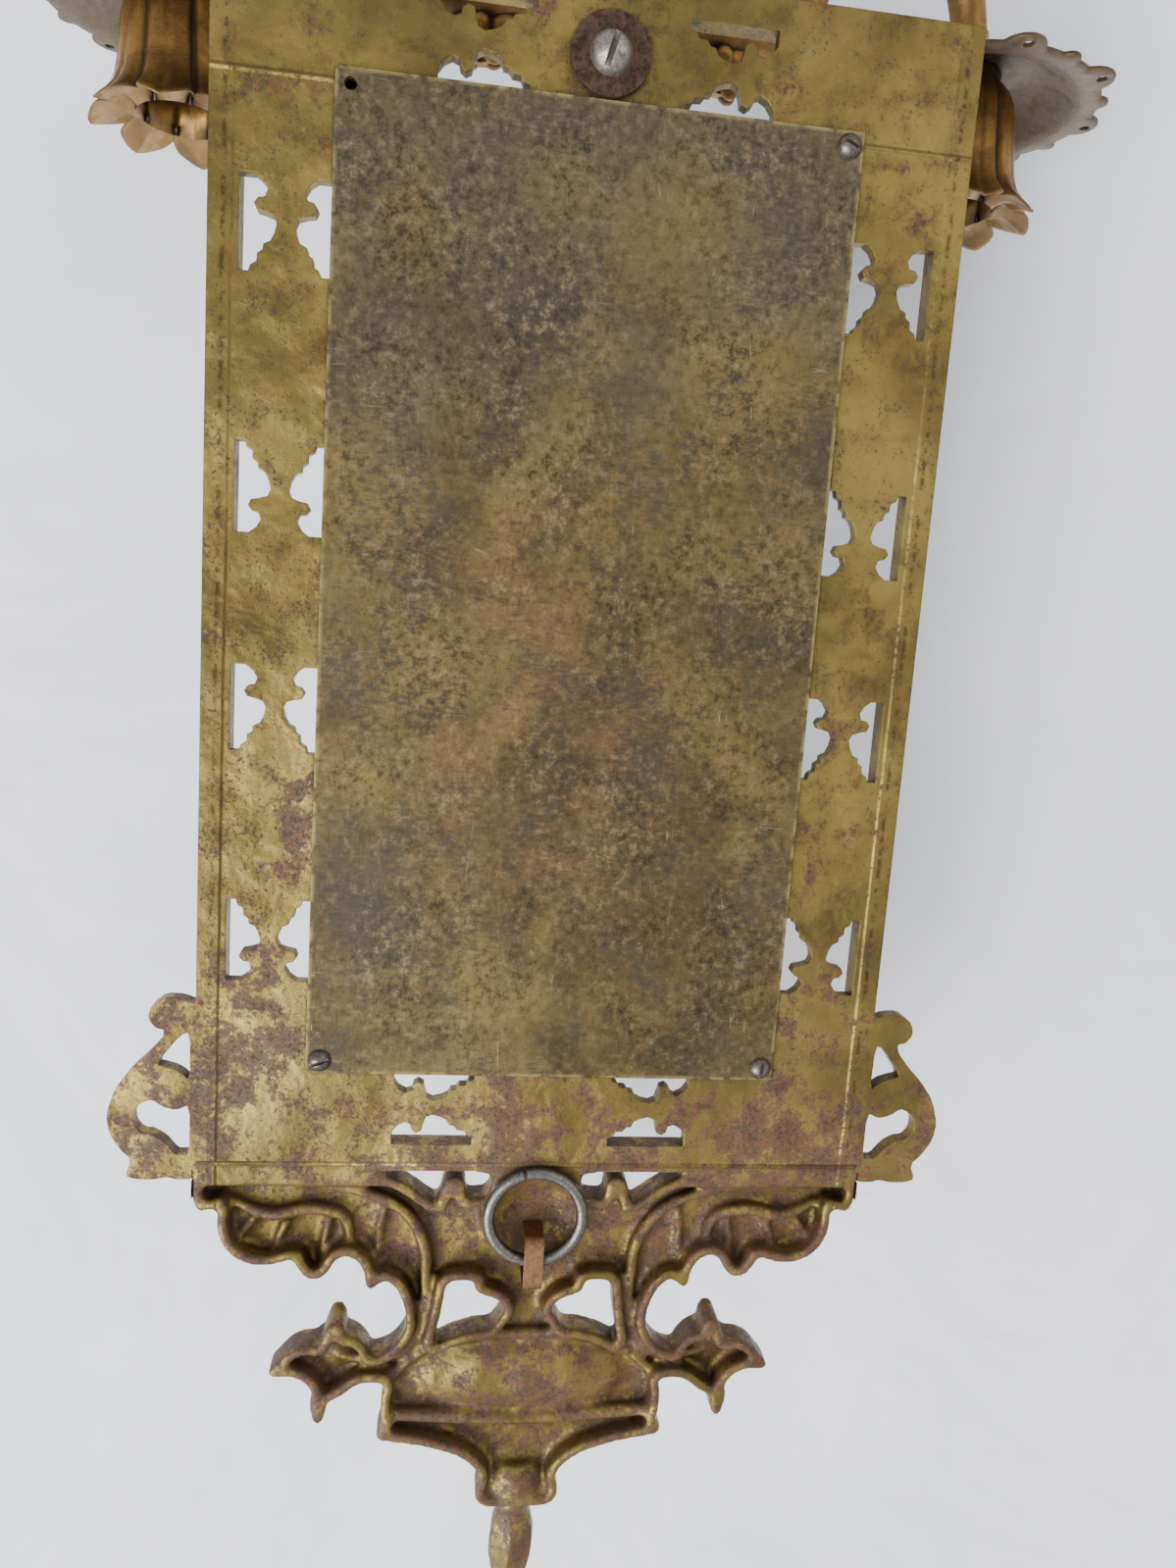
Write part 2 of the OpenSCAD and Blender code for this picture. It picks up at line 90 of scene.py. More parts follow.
# One material and its nodes; masks run from 0 to 1 and tints are laid over each other like glazes
class Graph:
    def __init__(self, name):
        self.material = bpy.data.materials.new(name)
        self.material.use_nodes = True
        self.tree = self.material.node_tree
        self.shader = self.tree.nodes["Principled BSDF"]
        self.place = self.add("VectorMath", {0: self.add("TexCoord", out="Object"), "Scale": 1000},
            operation="SCALE")  # object coordinates in millimetres

    def add(self, kind, inputs=(), out=0, **settings):
        made = self.tree.nodes.new("ShaderNode" + kind)
        for key, value in settings.items():
            setattr(made, key, value)
        self.fill(made, inputs if isinstance(inputs, dict) else dict(enumerate(inputs)))
        return made.outputs[out]

    def fill(self, made, inputs):
        for key, value in inputs.items():
            if isinstance(value, bpy.types.NodeSocket):
                self.tree.links.new(value, made.inputs[key])
            else:
                made.inputs[key].default_value = linearColour(value) if isinstance(value, str) else value

    # What a pattern of this size in millimetres needs in its sockets
    def sized(self, size, detail=4, roughness=0.55, distortion=0, place=None):
        return {"Vector": place or self.place, "Scale": 1 / size, "Detail": detail, "Roughness": roughness,
            "Distortion": distortion}

    def weighted(self, pairs, total=0.0):
        for value, weight in pairs:
            total = self.add("Math", (value, weight, total), operation="MULTIPLY_ADD")
        return total

    # From 0 at low to 1 at high, of one pattern or of a weighted sum of several
    def mask(self, source, low, high, least=0.0, most=1.0):
        value = self.weighted(source) if isinstance(source, list) else source
        return self.add("MapRange", (value, low, high, least, most), interpolation_type="SMOOTHSTEP")

    def hollows(self, distance, low, high):
        shade = self.add("AmbientOcclusion", {"Distance": mm(distance)}, "AO", samples=8)
        return self.mask(shade, low, high, 1.0, 0.0)

    def tint(self, under, over, mask, amount=1.0):
        cover = mask if amount == 1 else self.add("Math", (mask, amount), operation="MULTIPLY")
        return self.add("Mix", {0: cover, 6: under, 7: over}, 2, data_type="RGBA")

    # Softens edges of this radius, then adds each layer's (height, depth in millimetres, strength)
    def relief(self, edge, layers):
        normal = self.add("Bevel", {"Radius": mm(edge)}, samples=4)
        for height, depth, strength in layers:
            normal = self.add("Bump", {"Height": height, "Distance": mm(depth), "Strength": strength,
                "Normal": normal})
        return normal

    def shade(self, colour, metal, rough, normal):
        self.fill(self.shader, {"Base Color": colour, "Metallic": metal, "Roughness": rough, "Normal": normal})
        return self.material


# Old cast brass, dull olive gold, with red-brown oxide that thickens towards the crest and painted shade in its
# hollows
def castBrass():
    look = {"patch": 34, "blotch": 7, "pit": 1.6, "grain": 0.55, "pale": 70, "speck": 0.9, "dent": 16,
        "cavity": 5, "edge": 0.55, "rimFrom": 75.1, "rimTo": 75.9, "lineAt": 77.2, "ridgeZ": -104.5}
    g = Graph("agedCastBrass")
    height = g.weighted([(g.add("SeparateXYZ", (g.place,), "Z"), 1)], -inMm(middleZ))
    side = g.add("Math", (g.add("SeparateXYZ", (g.place,), "X"),), operation="ABSOLUTE")
    patch = g.add("TexNoise", g.sized(look["patch"], 4, 0.6, 0.6))
    blotch = g.add("TexNoise", g.sized(look["blotch"], 6, 0.65, 0.3))
    pit = g.add("TexNoise", g.sized(look["pit"], 6, 0.7))
    pale = g.add("TexNoise", g.sized(look["pale"], 3))
    colour = g.tint("#66562c", "#86733c", g.mask(patch, 0.34, 0.66))
    colour = g.tint(colour, "#4f3e1e", g.mask(blotch, 0.42, 0.7), 0.75)
    colour = g.tint(colour, "#968249", g.mask(pale, 0.46, 0.7), 0.6)
    rise = g.mask(height, -10, 150, -0.075, 0.06)  # more oxide higher up
    oxide = g.mask([(blotch, 0.55), (pit, 0.45), (patch, 0.42), (rise, 1)], 0.725, 0.785)
    colour = g.tint(colour, g.tint("#26160b", "#56290f", g.mask(pit, 0.35, 0.65)), oxide, 0.84)
    speckle = g.add("TexNoise", g.sized(look["speck"], 5, 0.75))
    specks = g.mask([(speckle, 1), (blotch, 0.35)], 0.74, 0.8)
    colour = g.tint(colour, "#2c2014", specks, 0.85)
    # painted shade: hollows found by ambient occlusion are tinted dark brown
    colour = g.tint(colour, "#3a2a17", g.hollows(look["cavity"], 0.35, 0.95), 0.75)
    dark = g.add("Math", (oxide, specks), operation="MAXIMUM")
    # A slightly raised band at the long edges, with a speckled line in it, and a cast ridge low on the frame
    wander = g.weighted([(g.add("TexNoise", g.sized(30, 2)), 0.8)], side)
    band = g.mask(wander, look["rimFrom"], look["rimTo"])
    fromRidge = g.add("Math", (g.weighted([(height, 1)], -look["ridgeZ"]),), operation="ABSOLUTE")
    ridge = g.add("Math", (g.mask(fromRidge, 0.8, 0), g.mask(side, 54, 57)), operation="MULTIPLY")
    fromLine = g.add("Math", (g.weighted([(wander, 1)], -look["lineAt"]),), operation="ABSOLUTE")
    broken = g.mask(g.add("TexNoise", g.sized(2.4, 5, 0.75)), 0.46, 0.58)
    line = g.add("Math", (g.mask(fromLine, 0.9, 0), broken), operation="MULTIPLY")
    colour = g.tint(colour, "#2c2014", line, 0.7)
    normal = g.relief(look["edge"], [
        (g.add("TexNoise", g.sized(look["dent"], 3, 0.5, 0.25)), 2.2, 0.85),
        (g.weighted([(band, 1)], ridge), 0.45, 0.9),
        (g.weighted([(specks, -0.4)], pit), 0.22, 0.7)])
    grain = g.mask(g.add("TexNoise", g.sized(look["grain"], 3, 0.6)), 0.3, 0.7, 0.36, 0.52)
    return g.shade(colour, g.weighted([(dark, -0.8)], 0.86), g.weighted([(dark, 0.18)], grain), normal)


# Thin tinned brass sheet, worn and scratched, with an orange-brown stain in the middle and a painted highlight
# along its edges
def wornSheet():
    look = {"patch": 45, "grey": 60, "streak": 0.8, "smudge": 16, "speck": 0.8, "mottle": 1.7, "wave": 38,
        "tooth": 0.9, "edge": 0.3, "highlightWidth": 1.1, "stainX": -6, "stainZ": 20, "stainW": 44, "stainH": 68}
    middle = inMm(middleZ)
    g = Graph("wornTinnedSheet")
    height = g.add("SeparateXYZ", (g.place,), "Z")
    across = g.add("VectorMath", (g.place, (0.3, 1, 1)), operation="MULTIPLY")
    upright = g.add("VectorMath", (g.place, (1, 1, 0.2)), operation="MULTIPLY")
    patch = g.add("TexNoise", g.sized(look["patch"], 4, 0.55, 0.7))
    colour = g.tint("#4c4027", "#6f5c33", g.mask(patch, 0.36, 0.64))
    lower = g.mask(height, middle + 40, middle - 120, -0.16, 0.16)
    grey = g.mask([(g.add("TexNoise", g.sized(look["grey"], 3)), 1), (lower, 1)], 0.42, 0.62)
    colour = g.tint(colour, "#58513f", grey, 0.6)
    offset = g.add("VectorMath", (g.place, (-look["stainX"], 0, -(middle + look["stainZ"]))), operation="ADD")
    oval = g.add("VectorMath", (offset, (1 / look["stainW"], 0, 1 / look["stainH"])), operation="MULTIPLY")
    reach = g.add("VectorMath", (oval,), "Value", operation="LENGTH")
    cloudy = g.mask(g.add("TexNoise", g.sized(18, 4, 0.6, 0.8)), 0.36, 0.62)
    stain = g.add("Math", (g.mask([(reach, 1), (patch, 1)], 1.5, 0.85), cloudy), operation="MULTIPLY")
    colour = g.tint(colour, "#5e3f14", stain, 0.6)
    fineStreak = g.add("TexNoise", g.sized(look["streak"], 8, 0.8, 0.2, across))
    streaks = g.mask([(fineStreak, 1), (g.add("TexNoise", g.sized(26, 5, 0.65, 0.4)), 0.62)], 0.79, 0.93)
    colour = g.tint(colour, "#26221a", streaks, 0.7)
    smudge = g.add("TexNoise", g.sized(look["smudge"], 5, 0.65, 1.2))
    colour = g.tint(colour, "#2c2619", g.mask(smudge, 0.56, 0.72), 0.3)
    specks = g.mask(g.add("TexNoise", g.sized(look["speck"], 5, 0.8)), 0.66, 0.72)
    colour = g.tint(colour, "#282419", specks, 0.7)
    mottle = g.add("TexNoise", g.sized(look["mottle"], 4, 0.7))
    worn = g.mask(g.add("TexNoise", g.sized(22, 4, 0.6, 0.5)), 0.35, 0.65, 0.4, 1.0)
    for over, low, high, amount in (("#1d180e", 0.5, 0.36, 0.7), ("#8d7d58", 0.52, 0.66, 0.42)):
        spots = g.add("Math", (g.mask(mottle, low, high), worn), operation="MULTIPLY")
        colour = g.tint(colour, over, spots, amount)
    lines = []
    for size, stretch, width in ((9, (0.1, 1, 2.6), 0.012), (13, (1.9, 1, 0.12), 0.008)):
        pulled = g.add("VectorMath", (g.place, stretch), operation="MULTIPLY")
        cell = g.add("TexVoronoi", {"Vector": pulled, "Scale": 1 / size}, feature="DISTANCE_TO_EDGE")
        lines.append(g.mask(cell, width, 0))
    some = g.mask(g.add("TexNoise", g.sized(8, 2)), 0.6, 0.7)
    scratch = g.add("Math", (g.add("Math", lines, operation="MAXIMUM"), some), operation="MULTIPLY")
    colour = g.tint(colour, "#a39b80", scratch, 0.3)
    # painted highlight: a pale band along the sheet's outer edges, broken into patches by noise
    rims = []
    for value, reachTo in ((g.add("SeparateXYZ", (g.place,), "X"), inMm(plateHigh.x)),
            (g.weighted([(height, 1)], -middle), inMm(plateHigh.z - middleZ))):
        away = g.add("Math", (value,), operation="ABSOLUTE")
        rims.append(g.mask(away, reachTo - look["highlightWidth"], reachTo))
    highlightPatches = g.mask(g.add("TexNoise", g.sized(5, 3)), 0.4, 0.55)
    edgeHighlight = g.add("Math", (g.add("Math", rims, operation="MAXIMUM"), highlightPatches), operation="MULTIPLY")
    colour = g.tint(colour, "#a8985f", edgeHighlight, 0.5)
    dull = g.add("Math", (streaks, specks), operation="MAXIMUM")
    dull = g.add("Math", (dull, stain), operation="MAXIMUM")
    tooth = g.add("TexNoise", g.sized(look["tooth"], 5, 0.7, 0, upright))
    normal = g.relief(look["edge"], [
        (g.add("TexNoise", g.sized(look["wave"], 2, 0.4)), 1.1, 0.6),
        (g.weighted([(scratch, -1)], tooth), 0.07, 0.7)])
    haze = g.mask(g.add("TexNoise", g.sized(12, 4)), 0.3, 0.7, 0.38, 0.52)
    return g.shade(colour, g.weighted([(dull, -0.4)], 0.74), g.weighted([(dull, 0.16)], haze), normal)


# Bronze paint over brass, with painted shade darkening the recesses, and grey dust on what faces up
def giltBronze(name, dust, low, high):
    look = {"brush": 14, "grain": 1.4, "dust": 5, "cavity": 6, "edge": 0.35}
    g = Graph(name)
    grain = g.add("TexNoise", g.sized(look["grain"], 5, 0.7))
    brush = g.add("TexNoise", g.sized(look["brush"], 4, 0.6, 0.4))
    colour = g.tint(low, high, g.mask(brush, 0.35, 0.65))
    colour = g.tint(colour, "#5b3a1e", g.mask(grain, 0.55, 0.75), 0.6)
    # painted shade: recesses found by ambient occlusion are darkened almost to black
    cavity = g.hollows(look["cavity"], 0.4, 0.92)
    colour = g.tint(colour, "#20130a", cavity, 0.95)
    upwards = g.add("SeparateXYZ", (g.add("NewGeometry", out="Normal"),), "Z")
    fallen = g.mask(g.add("TexNoise", g.sized(look["dust"], 5, 0.7)), 0.3, 0.6)
    settled = g.add("Math", (g.mask(upwards, 0.1, 0.8), fallen), operation="MULTIPLY")
    colour = g.tint(colour, "#5a5046", settled, dust)
    matt = g.add("Math", (g.weighted([(settled, dust)]), g.weighted([(cavity, 0.665)])), operation="MAXIMUM")
    normal = g.relief(look["edge"], [(brush, 0.5, 0.6), (grain, 0.16, 0.8)])
    sheen = g.mask(grain, 0.3, 0.7, 0.34, 0.5)
    return g.shade(colour, g.weighted([(matt, -0.8)], 0.86), g.weighted([(matt, 0.4)], sheen), normal)


# Turned steel that has dulled, with rust in patches; rust is how much of it is covered
def dullSteel(name, clean, shade, rust):
    look = {"grain": 0.7, "patch": 2.6, "cavity": 1.6, "edge": 0.2}
    g = Graph(name)
    grain = g.add("TexNoise", g.sized(look["grain"], 5, 0.7))
    patch = g.add("TexNoise", g.sized(look["patch"], 5, 0.65, 0.4))
    colour = g.tint(clean, shade, g.mask(grain, 0.35, 0.7))
    cover = g.mask(patch, 0.94 - rust, 1.1 - rust)
    hollow = g.weighted([(g.hollows(look["cavity"], 0.5, 0.95), 0.8)])
    rusty = g.add("Math", (cover, hollow), operation="MAXIMUM")
    colour = g.tint(colour, g.tint("#22150d", "#583522", grain), rusty, 0.85)
    normal = g.relief(look["edge"], [(patch, 0.15, 0.7), (grain, 0.08, 0.8)])
    sheen = g.mask(grain, 0.3, 0.7, 0.3, 0.46)
    return g.shade(colour, g.weighted([(rusty, -0.65)], 0.95), g.weighted([(rusty, 0.3)], sheen), normal)


# Silvered mirror glass with small foxed spots, faintly smeared
def mirrorGlass():
    look = {"spot": 3, "group": 30, "smear": 20, "wave": 120}
    g = Graph("silveredMirror")
    spot = g.add("TexNoise", g.sized(look["spot"], 5, 0.8))
    group = g.add("TexNoise", g.sized(look["group"], 2))
    colour = g.tint("#dfe4e4", "#4b4740", g.mask([(spot, 1), (group, 0.3)], 0.78, 0.84), 0.7)
    smear = g.mask(g.add("TexNoise", g.sized(look["smear"], 3)), 0.3, 0.8, 0.02, 0.06)
    wave = g.add("TexNoise", g.sized(look["wave"], 1))
    normal = g.add("Bump", {"Height": wave, "Distance": mm(0.12), "Strength": 0.3})
    return g.shade(colour, 1.0, smear, normal)


# Thin wooden board behind the glass, raw, with long grain
def rawBoard():
    look = {"ring": 2.2, "along": 0.06}
    g = Graph("rawPineBoard")
    lengthways = g.add("VectorMath", (g.place, (1, 1, look["along"])), operation="MULTIPLY")
    rings = g.add("TexNoise", g.sized(look["ring"], 5, 0.6, 0.4, lengthways))
    colour = g.tint("#8a6c47", "#5f452b", g.mask(rings, 0.35, 0.65))
    normal = g.add("Bump", {"Height": rings, "Distance": mm(0.1), "Strength": 1.0})
    return g.shade(colour, 0.0, g.mask(rings, 0.3, 0.7, 0.7, 0.85), normal)


finishes = {
    "cast_brass": castBrass(),
    "plate_sheet": wornSheet(),
    "gilt_brass": giltBronze("bronzePaintedBrass", 0.3, "#6b4f2b", "#94703a"),
    "steel": dullSteel("dullScrewSteel", "#6f6a63", "#4c443c", 0.42),
    "bright_steel": dullSteel("rubbedScrewSteel", "#98928a", "#6f6a62", 0.42),
    "rusty_steel": dullSteel("rustyWasherSteel", "#4f4034", "#30241b", 0.5),
    "ring_steel": dullSteel("greyRingSteel", "#77756e", "#524f49", 0.34),
    "copper_strip": dullSteel("wornCopperStrip", "#9a7250", "#6f4d35", 0.42),
    "mirror": mirrorGlass(),
    "board": rawBoard(),
}
# the pans' bronze paint: heavier grey dust, and darker colours than the cups' as painted shade
dustyShadedBronze = giltBronze("dustyShadedBronzePaint", 0.75, "#4a3d2c", "#5f4c33")
slotOf = {entry["node"]: entry["material_slot"] for entry in frame["record"]["subparts"]}
for nodeName, shown in frame["nodes"].items():
    shown.data.materials.clear()
    shown.data.materials.append(finishes[slotOf[nodeName]])
print("materials made")


# each piece here is parented to the empty of its body and takes the material of its slot
def finished(name, bm, body, slotName, replaced=(), material=None, smooth=True):
    bmesh.ops.recalc_face_normals(bm, faces=bm.faces)
    for face in bm.faces:
        face.smooth = smooth
    mesh = bpy.data.meshes.new(name)
    bm.to_mesh(mesh)
    bm.free()
    made = bpy.data.objects.new(name, mesh)
    bpy.context.scene.collection.objects.link(made)
    mesh.materials.append(material or finishes[slotName])
    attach(made, body)
    if replaced:
        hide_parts(*replaced)
    return made


def turned(bm, profile, steps, centre):
    ring = [bm.verts.new(centre + Vector((mm(r), 0, mm(z)))) for r, z in profile]
    edges = [bm.edges.new(pair) for pair in zip(ring, ring[1:])]
    bmesh.ops.spin(bm, geom=ring + edges, cent=centre, axis=(0, 0, 1), angle=math.tau, steps=steps,
        use_merge=True, use_duplicate=False)
    bmesh.ops.remove_doubles(bm, verts=bm.verts, dist=mm(0.01))


def ball(bm, centre, radius, squash=(1, 1, 1), detail=3, turn=None):
    place = Matrix.Translation(centre) @ (turn or Matrix.Identity(4)) @ Matrix.Diagonal((*squash, 1))
    return bmesh.ops.create_icosphere(bm, subdivisions=detail, radius=mm(radius), matrix=place)["verts"]


def along(points, spacing):  # a smooth curve through the points
    dense = []
    for i in range(len(points) - 1):
        a, b, c, d = (Vector(points[max(0, min(len(points) - 1, i + k))]) for k in (-1, 0, 1, 2))
        count = max(2, int((c - b).length / spacing))
        for k in range(count):
            t = k / count
            dense.append(0.5 * (2 * b + (c - a) * t + (2 * a - 5 * b + 4 * c - d) * t * t
                + (3 * b - a - 3 * c + d) * t ** 3))
    dense.append(Vector(points[-1]))
    return dense


def ridge(bm, points, radius, ends=0.6):  # a row of balls that the crest's remesh fuses
    path = along(points, 0.9)
    for i, p in enumerate(path):
        t = i / max(1, len(path) - 1)
        size = radius * (ends + (1 - ends) * math.sin(math.pi * t) ** 0.5)
        ball(bm, at(*p), size, detail=2)


def mirrored(points):
    return [(-x, y, z) for x, y, z in points]


def addObject(name, bm):
    mesh = bpy.data.meshes.new(name)
    bm.to_mesh(mesh)
    bm.free()
    made = bpy.data.objects.new(name, mesh)
    bpy.context.scene.collection.objects.link(made)
    return made


# The casting: its border keeps the CAD shape, and its crest is softened as a sand casting is

def castingCopy():
    bm = bmesh.new()
    bm.from_mesh(frame["nodes"]["frame"].data)
    bmesh.ops.remove_doubles(bm, verts=bm.verts, dist=mm(0.002))
    return bm


def cutPlane(bm, point, normal, clear):
    everything = bm.verts[:] + bm.edges[:] + bm.faces[:]
    return bmesh.ops.bisect_plane(bm, geom=everything, dist=mm(0.001), plane_co=point, plane_no=normal,
        clear_outer=clear)


def makeBorder():
    gap = 0.4
    bm = castingCopy()
    seam = at(0, 0, casting["top"] + gap)
    side = mm(casting["halfWidth"] + gap)
    cutPlane(bm, seam, (0, 0, 1), False)
    cutPlane(bm, Vector((side, 0, 0)), (1, 0, 0), False)
    cutPlane(bm, Vector((-side, 0, 0)), (-1, 0, 0), False)
    crestFaces = [f for f in bm.faces if f.calc_center_median().z > seam.z
        and abs(f.calc_center_median().x) < side]
    bmesh.ops.delete(bm, geom=crestFaces, context="FACES")
    return finished("castBorder", bm, "sconce", "cast_brass", ["frame"], smooth=False)


# Rims, folds and veins of the hollow back; y is the depth from the back face
def addCrestBack(bm, top):
    scroll = [(46, -4.4, top + 51), (39, -4.2, top + 52.6), (32, -4, top + 51), (27.4, -4, top + 46),
        (25.4, -3.8, top + 38), (25.4, -3.8, top + 30), (26.4, -3.6, top + 21), (31.5, -3.4, top + 12.5),
        (41, -3.2, top + 7.5), (54, -3.2, top + 5.4)]
    leafFold = [(44, -4.4, top + 20), (46, -4, top + 14), (54, -3.6, top + 12), (63, -3.6, top + 13.5),
        (72, -4, top + 10)]
    veins = [
        [(49, -4.6, top + 14), (50, -4.6, top + 20), (51, -5, top + 26)],
        [(58, -4.6, top + 13), (60, -4.6, top + 18), (62, -5, top + 23)],
        [(36, -4.8, top + 11), (37, -4.6, top + 18), (37.4, -5, top + 26)],
        [(66, -4.6, top + 14), (69, -4.8, top + 18), (71, -5, top + 21)],
    ]
    for line, radius in [(scroll, 1.7), (leafFold, 1.7)] + [(vein, 1.1) for vein in veins]:
        ridge(bm, line, radius)
        ridge(bm, mirrored(line), radius)
    ridge(bm, [(-33, -4, top + 57), (-24, -4, top + 49.5), (-12, -4, top + 46.4), (0, -4, top + 45.6),
        (12, -4, top + 46.4), (24, -4, top + 49.5), (33, -4, top + 57)], 1.5, ends=1)
    ridge(bm, [(-33, -3.4, top + 67), (-16, -3.2, top + 68), (0, -3, top + 68.6), (16, -3.2, top + 68),
        (33, -3.4, top + 67)], 1.9, ends=1)
    ridge(bm, [(-9, -4, top + 86), (-5, -3, top + 90), (0, -2.6, top + 91.4), (5, -3, top + 90),
        (9, -4, top + 86)], 1.4, ends=1)


# Relief of the front: a rolled leaf and flowers at each side, the urn's body and a rosette under it
def addCrestFront(bm, top):
    for side in (-1, 1):
        ridge(bm, [(side * 72, -8, top + 10), (side * 62, -8.6, top + 15), (side * 50, -8.8, top + 13),
            (side * 40, -8.8, top + 9), (side * 31, -8.6, top + 14), (side * 26, -8.4, top + 23),
            (side * 25.6, -8.4, top + 33), (side * 26.4, -8.6, top + 43), (side * 31, -8.4, top + 50),
            (side * 38, -8.4, top + 52.6)], 3, ends=0.5)
        for x, y, z, radius, squash in (  # the flower at the scroll's end
                (46, -8, 51, 7, (1, 0.5, 1)), (46, -10, 51, 3, (1, 0.8, 1)), (53, -8, 50.5, 4, (1.4, 0.5, 0.8)),
                (50.5, -8, 60, 3, (0.9, 0.5, 1.6)), (46.5, -8, 42.5, 2.6, (0.9, 0.5, 1.3))):
            ball(bm, at(side * x, y, top + z), radius, squash)
        for k, (x, z) in enumerate([(48, 21), (61, 20), (71, 16)]):
            ball(bm, at(side * x, -8, top + z), 5.6 - 0.6 * k, (0.8, 0.4, 0.95))
    urn = {"z": 58, "radius": 30, "squash": (1, 0.24, 0.42), "gadroons": 7, "depth": 0.5, "back": -8}
    body = ball(bm, at(0, urn["back"], top + urn["z"]), urn["radius"], urn["squash"], 5)
    for v in body:
        angle = math.atan2(v.co.x, -(v.co.y - backY - mm(urn["back"])) * 4)
        v.co.y -= mm(urn["depth"]) * abs(math.sin(angle * urn["gadroons"]))
    ridge(bm, [(-33, -8.4, top + 70), (0, -9, top + 70.5), (33, -8.4, top + 70)], 2.4, ends=1)
    ridge(bm, [(-20, -8.4, top + 74), (0, -9.4, top + 75), (20, -8.4, top + 74)], 1.8, ends=1)
    rosette = {"z": 13, "petals": 8, "reach": 7.4}
    ball(bm, at(0, -8.5, top + rosette["z"]), 11.5, (1, 0.35, 1), 4)
    for k in range(rosette["petals"]):
        a = k * math.tau / rosette["petals"]
        x, z = rosette["reach"] * math.cos(a), rosette["reach"] * math.sin(a)
        ball(bm, at(x, -10.6, top + rosette["z"] + z), 3.1, (1, 0.6, 1))
    ball(bm, at(0, -12, top + rosette["z"]), 3.6, (1, 0.8, 1))


def addBudLeaves(bm, top):
    look = {"leaves": 6, "thick": 1.5, "depth": -8}
    curve = ((3.4, 99, 0), (4.4, 102, 0.05), (5, 106, 0.12), (4.8, 111, 0.2), (3.6, 117, 0.3))
    for k in range(look["leaves"]):
        a = (k + 0.5) * math.tau / look["leaves"]
        leaf = [(r * math.cos(a + twist), look["depth"] + r * math.sin(a + twist), top + z)
            for r, z, twist in curve]
        ridge(bm, leaf, look["thick"], ends=0.7)


def makeCrest():
    look = {"voxel": 0.72, "smoothing": 9, "overlap": 4, "sideGap": 0.8}
    bm = castingCopy()
    lowest = at(0, 0, casting["top"] - look["overlap"])
    side = mm(casting["halfWidth"] + look["sideGap"])
    for point, normal in ((lowest, (0, 0, -1)), (Vector((side, 0, 0)), (1, 0, 0)),
            (Vector((-side, 0, 0)), (-1, 0, 0))):
        cut = cutPlane(bm, point, normal, True)["geom_cut"]
        bmesh.ops.holes_fill(bm, edges=[e for e in cut if isinstance(e, bmesh.types.BMEdge)], sides=0)
    addCrestBack(bm, casting["top"])
    addCrestFront(bm, casting["top"])
    addBudLeaves(bm, casting["top"])
    bmesh.ops.recalc_face_normals(bm, faces=bm.faces)
    rough = addObject("crestRough", bm)
    remesh = rough.modifiers.new("fuse", "REMESH")
    remesh.mode = "VOXEL"
    remesh.voxel_size = mm(look["voxel"])
    soften = rough.modifiers.new("soften", "SMOOTH")
    soften.factor = 0.5
    soften.iterations = look["smoothing"]
    evaluated = rough.evaluated_get(bpy.context.evaluated_depsgraph_get())
    bm = bmesh.new()
    bm.from_mesh(evaluated.to_mesh())
    evaluated.to_mesh_clear()
    bpy.data.objects.remove(rough)
    print("crest triangles", 2 * len(bm.faces))
    return finished("castCrest", bm, "sconce", "cast_brass", ["frame"])


def makeSeamRoll():
    look = {"radius": 1.0, "reach": 79.4, "depth": -0.75, "below": 1.2, "segments": 16}
    bm = bmesh.new()
    turn = Matrix.Rotation(math.pi / 2, 4, "Y")
    middle = Matrix.Translation(at(0, look["depth"], casting["top"] - look["below"]))
    bmesh.ops.create_cone(bm, cap_ends=True, segments=look["segments"], radius1=mm(look["radius"]),
        radius2=mm(look["radius"]), depth=mm(2 * look["reach"]), matrix=middle @ turn)
    return finished("topRoll", bm, "sconce", "cast_brass")


makeBorder()
makeCrest()
makeSeamRoll()
print("casting made")


def makeBeads():
    look = {"halfW": 50.6, "halfH": 102.2, "pitch": 3.4, "radius": 1.25, "front": -8.6}
    bm = bmesh.new()
    countX = round(2 * look["halfW"] / look["pitch"])
    countZ = round(2 * look["halfH"] / look["pitch"])
    for i in range(countX + 1):
        x = -look["halfW"] + 2 * look["halfW"] * i / countX
        for z in (-look["halfH"], look["halfH"]):
            ball(bm, at(x, look["front"], z), look["radius"], detail=2)
    for i in range(1, countZ):
        z = -look["halfH"] + 2 * look["halfH"] * i / countZ
        for x in (-look["halfW"], look["halfW"]):
            ball(bm, at(x, look["front"], z), look["radius"], detail=2)
    return finished("sightBeads", bm, "sconce", "cast_brass")


def makeBorderFlowers():
    look = {"petals": 6, "front": -3, "large": 5.4, "small": 3.6, "x": 64.4, "cornerZ": 115.4,
        "smallZ": (-95, -49.5, 0, 49.5, 95)}
    bm = bmesh.new()
    corner, sides = look["cornerZ"], (-look["x"], look["x"])
    places = [(x, z, look["large"]) for x in sides for z in (-corner, corner)]
    places += [(x, z, look["small"]) for x in sides for z in look["smallZ"]]
    places += [(0, corner, look["large"])]
    for x, z, r in places:
        for k in range(look["petals"]):
            a = k * math.tau / look["petals"]
            petal = at(x + 0.62 * r * math.cos(a), look["front"], z + 0.62 * r * math.sin(a))
            ball(bm, petal, 0.46 * r, (1, 0.7, 1))
        ball(bm, at(x, look["front"] - 0.3 * r, z), 0.36 * r)
    return finished("borderFlowers", bm, "sconce", "cast_brass")


makeBeads()
makeBorderFlowers()
print("front ornament made")


def nodeMiddle(node):  # the middle of its lowest face
    low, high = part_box(node)
    return Vector(((low.x + high.x) / 2, (low.y + high.y) / 2, low.z))


def angleFrom(v, centre):
    return math.atan2(v.co.y - centre.y, v.co.x - centre.x)


def fold(angle, count):
    step = math.tau / count
    return abs(((angle / step) % 1) - 0.5) * 2  # 0 in the middle of a step and 1 at its ends


